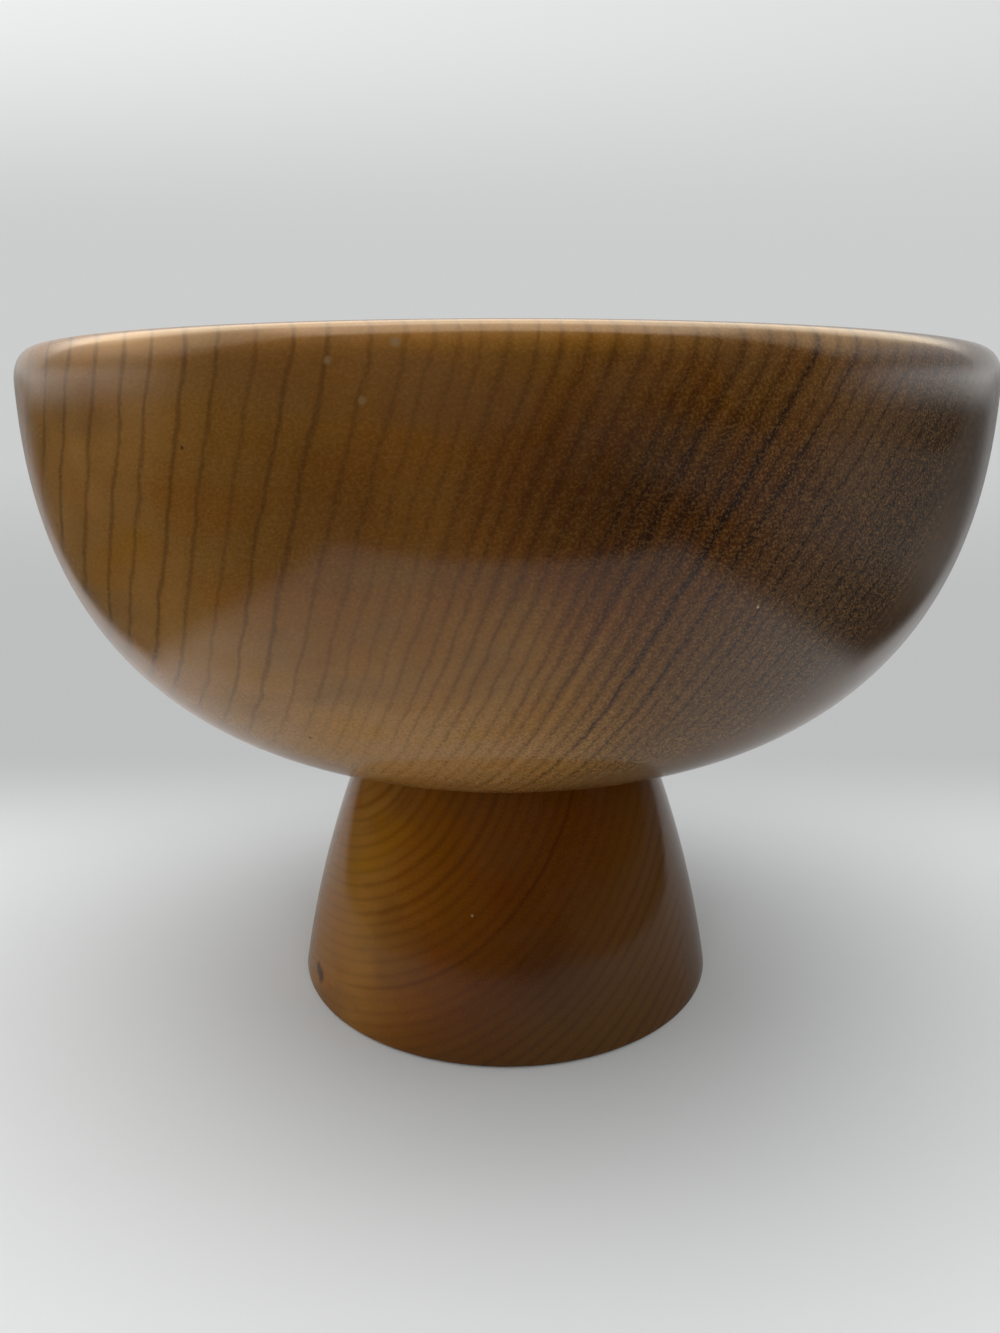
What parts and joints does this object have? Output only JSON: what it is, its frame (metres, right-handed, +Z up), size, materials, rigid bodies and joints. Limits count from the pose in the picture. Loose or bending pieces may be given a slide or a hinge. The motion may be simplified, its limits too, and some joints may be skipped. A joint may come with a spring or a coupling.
{
  "type": "wooden pedestal bowl",
  "caption": "Deep round turned wooden bowl with a rounded rim, glued and dowelled onto a short flared foot that it stands on.",
  "frame": {"origin": "centre of the circle that the foot stands on, at table height", "axes": "+Z up along the axis that the bowl and foot were turned on; +X and +Y are free, because the shape is round"},
  "size_m": [0.28, 0.28, 0.2029],
  "materials": {
    "bowl_wood": "golden to dark brown hardwood with dark growth rings under clear satin lacquer",
    "pedestal_wood": "warm orange brown hardwood with curved growth rings under clear satin lacquer",
    "dowel_wood": "plain pale hardwood, bare, as cut"
  },
  "bodies": {
    "root": {"bowl": "bowl_wood", "pedestal": "pedestal_wood", "joint_dowel": "dowel_wood"}
  },
  "joints": []
}
